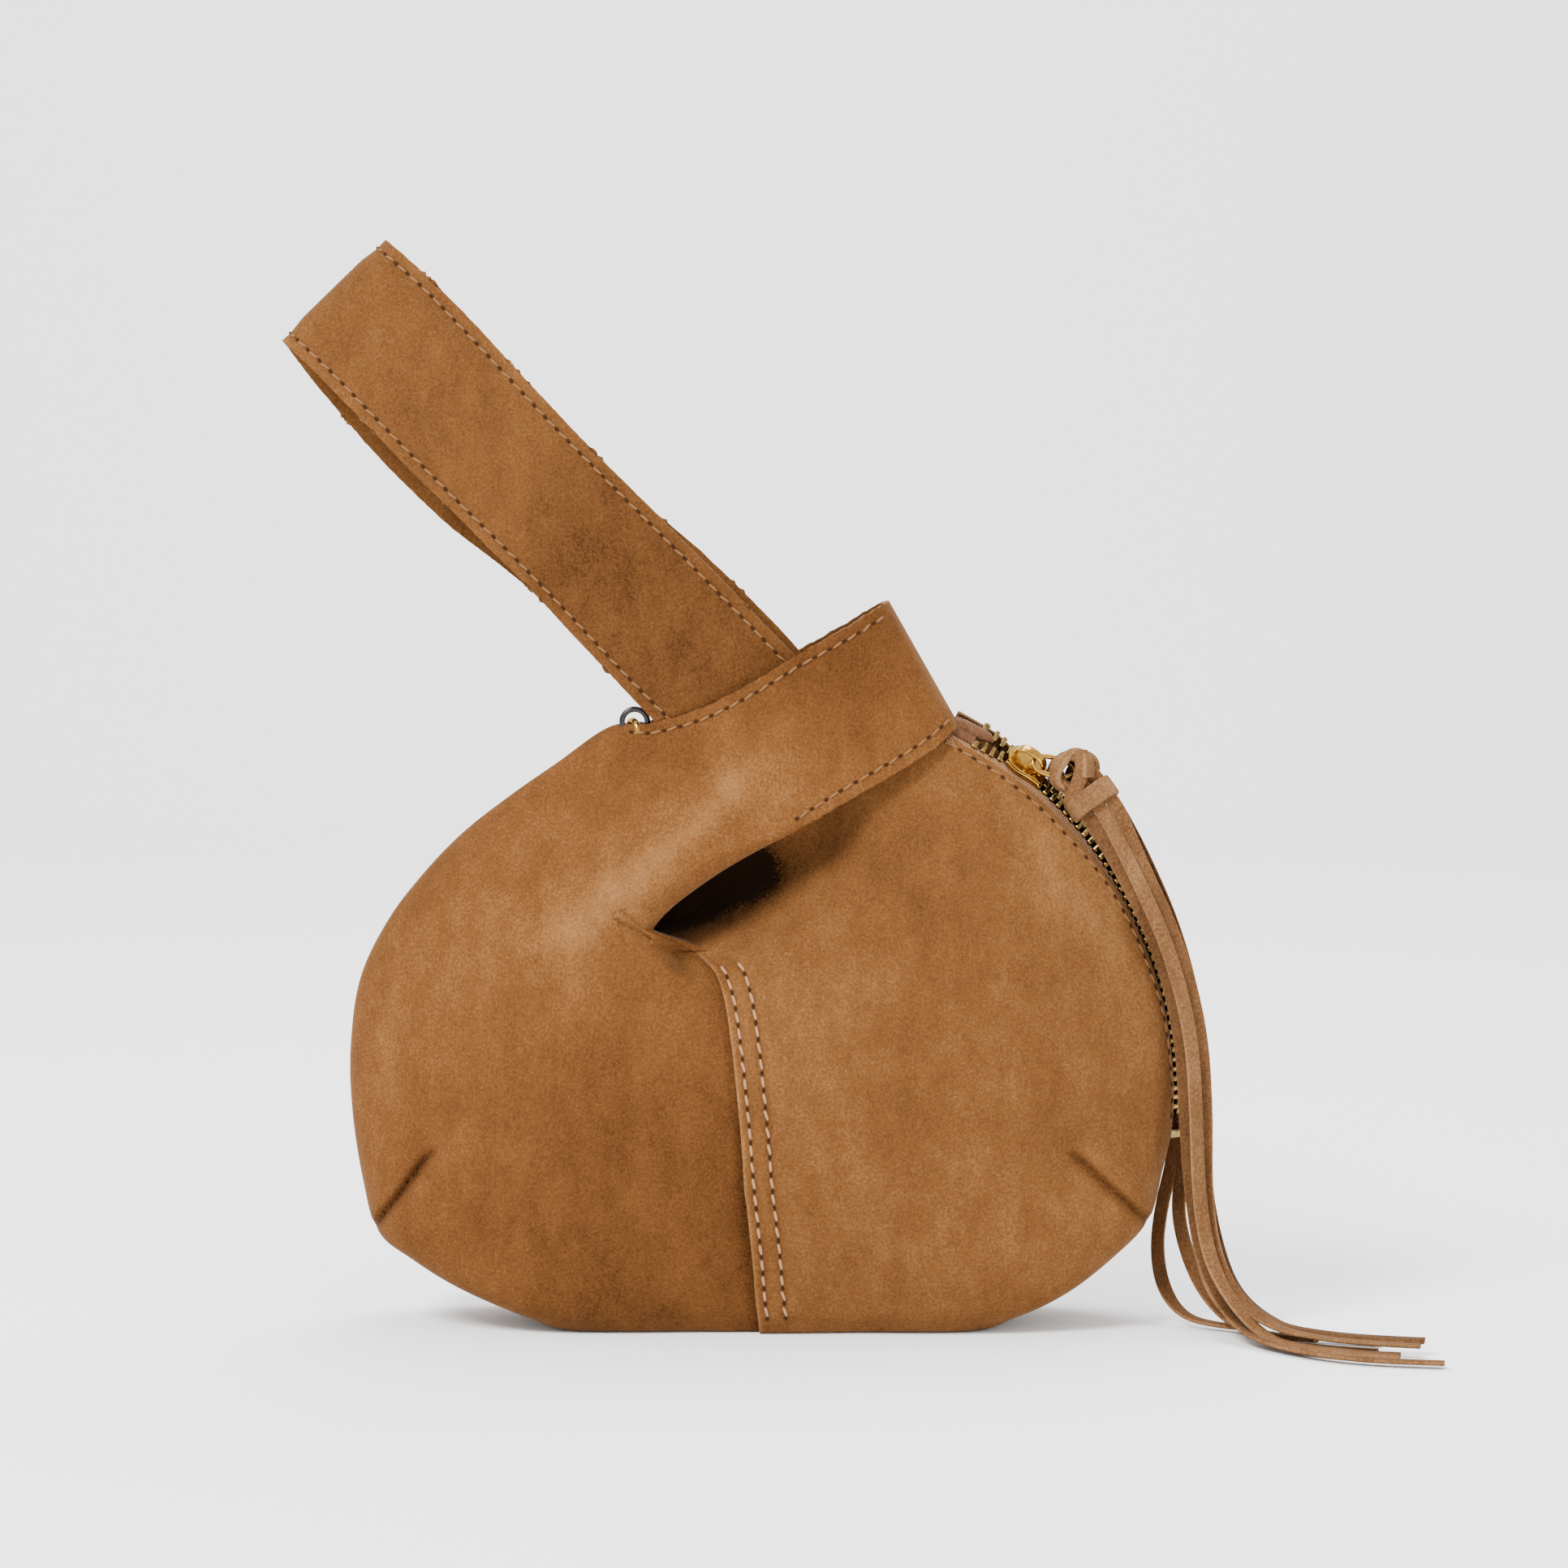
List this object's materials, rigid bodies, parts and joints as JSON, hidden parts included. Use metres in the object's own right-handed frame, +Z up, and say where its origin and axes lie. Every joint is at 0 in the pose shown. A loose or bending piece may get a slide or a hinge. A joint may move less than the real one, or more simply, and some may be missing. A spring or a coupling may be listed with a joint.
{
  "type": "suede knot bag wristlet",
  "caption": "Small round suede knot bag with a wrist loop passed through a short loop, a curved edge zip, a wire pull ring and a lace tassel.",
  "frame": {"origin": "middle of the flat base, on the surface that the bag stands on", "axes": "+Z up, +X towards the zip and tassel, -Y towards the front"},
  "size_m": [0.2937, 0.0916, 0.2829],
  "materials": {
    "suede_light": "napped suede, light tan",
    "suede_dark": "napped suede, redder tan",
    "lace": "flat suede lace",
    "lining": "plain cotton lining",
    "zip_tape": "woven herringbone tape",
    "antique_brass": "antique brass teeth",
    "bright_brass": "polished golden brass",
    "dark_metal": "near-black plated wire"
  },
  "bodies": {
    "bag": {"front_left_panel": "suede_dark", "back_left_panel": "suede_dark", "front_right_panel": "suede_light", "back_right_panel": "suede_light", "front_lining": "lining", "back_lining": "lining", "short_loop_outer_ply": "suede_dark", "short_loop_inner_ply": "suede_dark", "zip_tape_front": "zip_tape", "zip_tape_back": "zip_tape", "zip_teeth_front": "antique_brass", "zip_teeth_back": "antique_brass", "zip_top_stops": "antique_brass", "zip_bottom_stop": "antique_brass", "zip_end_tab": "suede_light", "ring_tab": "suede_dark", "brass_ring": "bright_brass"},
    "slider": {"zip_slider": "bright_brass"},
    "pull": {"pull_ring": "bright_brass"},
    "tassel": {"tassel_head": "lace", "tassel_band": "lace", "tassel_lace_1": "lace", "tassel_lace_2": "lace", "tassel_lace_3": "lace", "tassel_lace_4": "lace", "tassel_lace_5": "lace", "tassel_lace_6": "lace", "tassel_lace_7": "lace", "tassel_lace_8": "lace"},
    "wrist_strap": {"long_strap_outer_ply": "suede_light", "long_strap_inner_ply": "suede_light"},
    "key_ring": {"key_ring": "dark_metal"}
  },
  "joints": [
    {"name": "zip_travel", "type": "hinge", "parent": "bag", "child": "slider", "pos_m": [0, 0, 0.0608], "axis": [0, 1, 0], "range_deg": [0, 52]},
    {"name": "pull_swing", "type": "hinge", "parent": "slider", "child": "pull", "pos_m": [0.06878, -0.00266, 0.14526], "axis": [0, -1, 0], "range_deg": [0, 25]},
    {"name": "tassel_hang", "type": "hinge", "parent": "pull", "child": "tassel", "pos_m": [0.07994, -0.00266, 0.14248], "axis": [0, 1, 0], "range_deg": [-52.5, 0.5]},
    {"name": "strap_tilt", "type": "hinge", "parent": "bag", "child": "wrist_strap", "pos_m": [-0.01555, 0, 0.17276], "axis": [0.7206, 0, 0.6934], "range_deg": [-35, 35]},
    {"name": "key_ring_swing", "type": "hinge", "parent": "bag", "child": "key_ring", "pos_m": [-0.0327, -0.002, 0.15735], "axis": [-0.401, 0.842, 0.3609], "range_deg": [-15, 15]}
  ],
  "couplings": [
    {"joint": "tassel_hang", "follows": "zip_travel", "ratio": -1}
  ]
}
